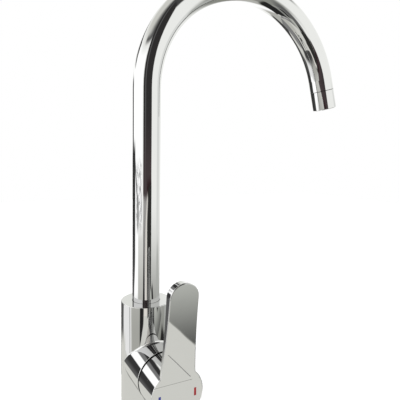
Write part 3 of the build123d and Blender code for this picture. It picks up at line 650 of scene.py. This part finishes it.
# %% Mesh of one rod
def rod(crest, low, high):
    """Points and faces of one threaded rod that stands at the origin."""
    rings = round((high - low) / pitch * rings_per_turn)
    points, faces = [], []
    for ring in range(rings + 1):
        z = low + (high - low) * ring / rings
        for corner in range(points_round):
            angle = 2 * pi * corner / points_round
            turn_share = (z - low) / pitch - corner / points_round
            radius = thread_radius(crest, turn_share, min(z - low, high - z))
            points.append((radius * cos(angle), radius * sin(angle), z))
    for ring in range(rings):
        for corner in range(points_round):
            here = ring * points_round + corner
            beside = ring * points_round + (corner + 1) % points_round
            faces.append((here, beside, beside + points_round, here + points_round))
    faces.append(tuple(reversed(range(points_round))))
    faces.append(tuple(rings * points_round + corner for corner in range(points_round)))
    return points, faces


print("points in one turn:", len(rod(m6_radius, 0, pitch)[0]))

# %% [markdown]
# The packed studs say where the rods stand and how thick and long they are. The threaded pair takes
# their place, moves with the body and wears the same plated steel.

# %% Both studs
stud_low, stud_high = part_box("fixing_studs")
stud_radius = (stud_high.y - stud_low.y) / 2
stud_y = (stud_high.y + stud_low.y) / 2
rod_points, rod_faces = rod(stud_radius, stud_low.z, stud_high.z)
points, faces = [], []
for stud_x in (stud_low.x + stud_radius, stud_high.x - stud_radius):
    first = len(points)
    points += [(x + stud_x, y + stud_y, z) for x, y, z in rod_points]
    faces += [tuple(corner + first for corner in face) for face in rod_faces]
stud_mesh = bpy.data.meshes.new("threaded_studs")
stud_mesh.from_pydata(points, [], faces)
threaded_studs = bpy.data.objects.new("threaded_studs", stud_mesh)
bpy.context.scene.collection.objects.link(threaded_studs)
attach(threaded_studs, "body")
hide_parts("fixing_studs")
print("thread turns:", round((stud_high.z - stud_low.z) / pitch), "faces:", len(faces))

# %% [markdown]
# ## Finishes
#
# Every finish starts from the same shader. Its colour, roughness and bump vary over the surface, and
# the values that don't vary are set straight on it. Places come from the object's own coordinates,
# so a finish rides along when the lever or the spout moves.

# %% A finish and the parts that wear it
def finish(name, parts, describe):
    """Makes a material, lets describe add its nodes, and gives it to the parts."""
    material = bpy.data.materials.new(name)
    material.use_nodes = True
    material.node_tree.nodes.clear()
    start = Wire(material.node_tree)
    place = start.node("ShaderNodeTexCoord").output("Object")
    shader = start.node("ShaderNodeBsdfPrincipled", {}, describe(start, place))
    start.node("ShaderNodeOutputMaterial", {}, {"Surface": shader})
    for part in parts:
        part.data.materials.clear()
        part.data.materials.append(material)
    print(name, "on", len(parts), "parts,", len(material.node_tree.nodes), "nodes")


def nodes_named(*names):
    return [tap[name] for name in names]


# %% [markdown]
# Nearly all wear, dirt and grain comes from two nodes: a cloud of noise, and a bump that turns a
# height into slanted light. Depths are in metres, so that each relief is as deep as the real one.

# %% Noise and bump
def noise(start, place, scale, detail=2, roughness=0.5):
    """A cloud of values round 0.5; scale is in lumps per metre."""
    inputs = {"Vector": place, "Scale": scale, "Detail": detail, "Roughness": roughness}
    return start.node("ShaderNodeTexNoise", {}, inputs)


def bump(start, height, depth):
    """Turns a height from 0 to 1 into a relief that is depth metres deep."""
    inputs = {"Height": height, "Strength": 1, "Distance": depth}
    return start.node("ShaderNodeBump", {}, inputs)


# %% [markdown]
# ## Chrome plate
#
# Bright chrome over polished brass is a mirror with faint faults: a slow waviness left by the
# polishing belt, a film from handling, and hairlines where a cloth has rubbed. All are kept very
# weak, because at arm's length the eye reads them only as slightly crooked reflections. Each part
# names narrow places where the plate is painted near black and made rougher: painted shade in the
# gap under the lever and in the lever's crease, and a dark joint line of lime at the aerator's ring.

# %% Chrome
def hairlines(start, place, seed):
    """Thin scratches: the narrow zero line of a stretched cloud, broken up by a second cloud."""
    stretched = (place + seed) * (700, 700, 90)
    line = noise(start, stretched, 1, 1)
    thin = 1 - (line - 0.5).turned("ABSOLUTE").ease(0.0, 0.012)
    return thin * noise(start, place, 120 + seed, 1).ease(0.52, 0.66)


def chrome_plate(find_shade_and_joints):
    """A describe function for chrome painted near black where find_shade_and_joints gives 1: painted
    shade in the lever's gap and crease, and the spout's dark joint line.
    """

    def chrome(start, place):
        film = noise(start, place, 90, 3)
        wave = noise(start, place, 55, 1)
        rubbed = noise(start, place, 900, 2).ease(0.60, 0.85)
        scratches = hairlines(start, place, 3).turned("MAXIMUM", hairlines(start, place, 11))
        clean = film.choose(colour(0.855, 0.858, 0.855), colour(0.875, 0.878, 0.875))
        # painted shade in the lever's gap and crease; on the spout, the dark joint line of lime
        dark = find_shade_and_joints(place)
        dullness = 0.018 + 0.02 * film + 0.02 * rubbed + 0.05 * scratches
        return {
            "Base Color": dark.choose(clean, grey(0.025)),
            "Metallic": 1,
            "Roughness": dullness + 0.4 * dark,
            "Normal": bump(start, wave, 0.00004),
        }

    return chrome


# %% [markdown]
# The body and the lever are painted dark in the gap where they meet, as painted shade for the light
# that goes in and hardly comes out again. The place of that painted shade is taken from the boxes of
# the parts, so it stays in the gap.

# %% Painted shade on the faces of the gap
barrel_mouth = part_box("body_casting")[0].y
skirt_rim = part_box("handle")[1].y
on_face, off_face = 0.00002, 0.00015
print("gap under the skirt:", round((barrel_mouth - skirt_rim) * 1000, 2), "mm")


def barrel_face_shade(place):
    """Painted shade on the flat mouth of the barrel, inside the gap under the lever's skirt."""
    y = place.parts()[1]
    return 1 - y.ease(barrel_mouth + on_face, barrel_mouth + off_face)


def skirt_rim_shade(y):
    """Painted shade on the skirt's rim, the other side of that gap."""
    return y.ease(skirt_rim - off_face, skirt_rim - on_face)


# %% [markdown]
# The lever has a crease where its blade leaves the round cap. The crease is painted with a fine grey
# line of painted shade. It stays on the cap's front and ends before the cap's spout side, so the mask
# is held to that stretch.

# %% Painted shade in the lever's crease
cap_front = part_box("red_mark")[0].y
crease_height, crease_half = 0.0703, 0.0002
print("crease at", crease_height, "on the front at", round(cap_front, 4))


def skirt_and_crease_shade(place):
    """Painted shade on the skirt's rim, and in the crease where the blade leaves the cap."""
    x, y, z = place.parts()
    # painted shade: a fine grey line along the crease
    crease = z.between(crease_height - crease_half, crease_height + crease_half, 0.00015)
    on_front = 1 - y.ease(cap_front + 0.0006, cap_front + 0.0009)
    crease = crease * (1 - x.ease(0.010, 0.014)) * on_front
    return skirt_rim_shade(y).turned("MAXIMUM", 0.5 * crease)


# %% [markdown]
# The aerator's ring is flush with the tube, and only a thin dark line of lime shows where they meet.
# The line is a thin slab square to the outlet's axis. That slab would cut the riser too, so the mask
# ends 5 to 6 cm from the outlet.

# %% Joint of the aerator's ring
outlet = next(mount for mount in frame["record"]["mounts"] if mount["name"] == "outlet_mouth")
ring_length, joint_half = 0.020, 0.00022
print("outlet at", [round(value, 4) for value in outlet["pos_m"]])


def ring_joint(place):
    """The joint between the tube's end and the aerator's ring, where lime gathers."""
    mouth = outlet["pos_m"]
    axis = outlet["axis"]
    from_mouth = (place - tuple(mouth)).parts()
    back = (from_mouth[0] * axis[0] + from_mouth[2] * axis[2]) * -1
    line = back.between(ring_length - joint_half, ring_length + joint_half, 0.00006)
    return 0.9 * line * (from_mouth[0] + mouth[0]).ease(mouth[0] - 0.06, mouth[0] - 0.05)


# %% [markdown]
# The same chrome goes on all plated castings and tubes. Only its dark places differ, the painted
# shade on the body and lever and the dark joint on the spout, so it is made three times, each time
# with another function.

# %% Chrome on its parts
finish("polished_chrome", nodes_named("body_casting", "base_ring"), chrome_plate(barrel_face_shade))
finish("polished_chrome_handle", nodes_named("handle"), chrome_plate(skirt_and_crease_shade))
spout_parts = nodes_named("spout_tube", "aerator_housing")
finish("polished_chrome_spout", spout_parts, chrome_plate(ring_joint))

# %% [markdown]
# The plug that hides the grub screw is chromed plastic. Its plate follows the moulding's orange-peel
# skin, so it is a shade softer than the castings.

# %% Chromed plastic
def plug_chrome(start, place):
    peel = noise(start, place, 1400, 1)
    return {
        "Base Color": noise(start, place, 300, 2).choose(grey(0.80), colour(0.84, 0.85, 0.86)),
        "Metallic": 1,
        "Roughness": 0.05 + 0.05 * peel,
        "Normal": bump(start, peel, 0.000012),
    }


finish("plug_chrome", nodes_named("screw_plug"), plug_chrome)

# %% [markdown]
# ## Turned brass
#
# The cutting tool leaves a fine groove that winds round the part: lines across a cylinder, rings on
# its end face. Both come from one wave of the distance along the axis plus the distance from it, so
# each part needs to know its axis. Fingers and water stain bare brass, which the slow cloud gives.

# %% Brass
feed_per_turn = 0.00022


def turned_brass(axis_place, along_y):
    """A describe function for brass turned round the Z or the Y direction through axis_place."""

    def brass(start, place):
        x, y, z = (place - axis_place).parts()
        side, along = (z, y) if along_y else (y, z)
        outward = (x * x + side * side).turned("SQRT")
        wander = noise(start, place, 500, 2)
        groove = ((along + outward) * (2 * pi / feed_per_turn) + 3 * wander).turned("SINE")
        stain = noise(start, place, 160, 3)
        dulled = stain.ease(0.45, 0.75)
        return {
            "Base Color": dulled.choose(colour(0.82, 0.64, 0.34), colour(0.60, 0.43, 0.22)),
            "Metallic": 1,
            "Roughness": 0.20 + 0.16 * dulled + 0.04 * groove,
            "Normal": bump(start, 0.5 + 0.5 * groove, 0.000005),
        }

    return brass


# %% [markdown]
# For the spout's end fitting and the two nuts, the grooves are worked out round the riser's axis. For
# the cartridge's ring and the stem it is the barrel's axis, which the ring's own box gives.

# %% Brass on its parts
nut_low, nut_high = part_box("retaining_nut")
barrel_axis = tuple((nut_low + nut_high) / 2)
finish("machined_brass", nodes_named("spout_adapter", "fixing_nuts"), turned_brass((0, 0, 0), False))
across = nodes_named("retaining_nut", "lever_stem")
finish("machined_brass_across", across, turned_brass(barrel_axis, True))

# %% [markdown]
# ## Plated steel
#
# Zinc plate is passivated, which leaves a thin clear film with patches of pale yellow and blue. One
# slow cloud places both tints, and a fine one gives the dull grain of the plate.

# %% Zinc-plated steel
def zinc(start, place):
    patch = noise(start, place, 140, 3)
    grain = noise(start, place, 2600, 2)
    yellowish, silvery = colour(0.66, 0.63, 0.52), colour(0.58, 0.60, 0.62)
    bluish = colour(0.47, 0.52, 0.60)
    warm_patches = patch.ease(0.35, 0.55).choose(yellowish, silvery)
    return {
        "Base Color": patch.ease(0.55, 0.72).choose(warm_patches, bluish),
        "Metallic": 1,
        "Roughness": 0.26 + 0.12 * patch + 0.08 * grain,
        "Normal": bump(start, grain, 0.000012),
    }


finish("plated_steel", nodes_named("clamp_plate", "fixing_studs") + [threaded_studs], zinc)

# %% [markdown]
# ## Stainless steel
#
# The small screws, the pin and the screen are stainless and keep a satin skin of fine grinding lines.
# The lines are a noise that is squeezed across the line and stretched along it.

# %% Stainless steel
def stainless(start, place):
    lines = noise(start, place * (9000, 9000, 700), 1, 2)
    smudge = noise(start, place, 220, 3)
    return {
        "Base Color": smudge.choose(colour(0.60, 0.60, 0.59), colour(0.50, 0.50, 0.50)),
        "Metallic": 1,
        "Roughness": 0.22 + 0.12 * lines + 0.08 * smudge,
        "Normal": bump(start, lines, 0.000006),
    }


small_steel = nodes_named("spout_lock_screw", "aerator_screen", "pivot_pin", "grub_screw")
finish("stainless_steel", small_steel, stainless)

# %% [markdown]
# ## Rubber
#
# Moulded seals are near black and matt, with a dusty grey bloom where they haven't been touched, and
# a fine grain from the mould.

# %% Rubber
def rubber(start, place):
    bloom = noise(start, place, 200, 3).ease(0.42, 0.75)
    grain = noise(start, place, 3500, 2)
    return {
        "Base Color": bloom.choose(grey(0.030), grey(0.085)),
        "Roughness": 0.55 + 0.25 * bloom + 0.1 * grain,
        "Normal": bump(start, grain, 0.00002),
    }


seals = nodes_named("base_seal", "clamp_gasket", "spout_o_rings", "aerator_seal", "port_seals")
finish("black_rubber", seals, rubber)

# %% [markdown]
# ## Plastics
#
# A moulded part carries the mould's own surface: an even fine grain from spark erosion, and slow
# lighter and darker swirls where the melt flowed. Glossier resins get a lower roughness.

# %% Moulded plastic
def moulded(pale, deep, gloss, grain_depth=0.000008):
    """A describe function for one moulded plastic; a lower gloss number is a glossier one."""

    def plastic(start, place):
        drift = 0.004 * noise(start, place, 90, 1).output("Color")
        swirl = noise(start, place + drift, 130, 2)
        grain = noise(start, place, 3000, 2)
        scuffed = noise(start, place, 420, 3).ease(0.55, 0.80)
        return {
            "Base Color": swirl.ease(0.35, 0.65).choose(pale, deep),
            "Roughness": gloss + 0.08 * grain + 0.12 * scuffed,
            "Normal": bump(start, grain, grain_depth),
        }

    return plastic


# %% [markdown]
# The spout's bushes, the flow straightener and the cartridge's cup are natural white plastic. The
# cartridge's base, carrier and rotor are grey from a filler that makes them hard. The dome over the
# cartridge is near black plastic, and that dark colour also serves as painted shade in the gap.

# %% White, grey and dark plastic
white = moulded(colour(0.86, 0.86, 0.84), colour(0.80, 0.80, 0.77), 0.30)
filled_grey = moulded(colour(0.45, 0.46, 0.48), colour(0.38, 0.39, 0.41), 0.38)
near_black = moulded(grey(0.030), grey(0.045), 0.25)
white_parts = nodes_named("guide_rings", "aerator_insert", "cartridge_housing")
grey_parts = nodes_named("cartridge_base", "disc_carrier", "cartridge_rotor")
finish("white_plastic", white_parts, white)
finish("grey_plastic", grey_parts, filled_grey)
finish("dark_plastic", nodes_named("dome_cover"), near_black)

# %% [markdown]
# ## Ceramic discs
#
# The discs are fired alumina, lapped flat until two of them cling together. Lapping leaves a satin
# gloss with grey drag marks, and the fired body shows faint specks.

# %% Ceramic
def ceramic(start, place):
    speck = noise(start, place, 2400, 2).ease(0.62, 0.74)
    drag = noise(start, place * (300, 1500, 300), 1, 2).ease(0.5, 0.8)
    clean = speck.choose(colour(0.90, 0.89, 0.85), colour(0.72, 0.69, 0.63))
    return {
        "Base Color": (0.35 * drag).choose(clean, grey(0.62)),
        "Roughness": 0.10 + 0.12 * drag + 0.05 * speck,
        "Normal": bump(start, drag, 0.000002),
    }


finish("ceramic", nodes_named("fixed_disc", "moving_disc"), ceramic)

# %% [markdown]
# ## Temperature marks
#
# The two small bars are enamel filled into the lever's cap. Enamel is glossy and slightly uneven,
# and its colour is a little thinner at the swirls, much as in a moulded plastic. So both bars use
# that helper, with a glossier setting and a shallower grain.

# %% Enamel
enamel_gloss, enamel_grain = 0.12, 0.000004
red = moulded(colour(0.37, 0.016, 0.021), colour(0.31, 0.012, 0.016), enamel_gloss, enamel_grain)
blue = moulded(colour(0.035, 0.045, 0.26), colour(0.028, 0.035, 0.20), enamel_gloss, enamel_grain)
finish("red_enamel", nodes_named("red_mark"), red)
finish("blue_enamel", nodes_named("blue_mark"), blue)

# %% [markdown]
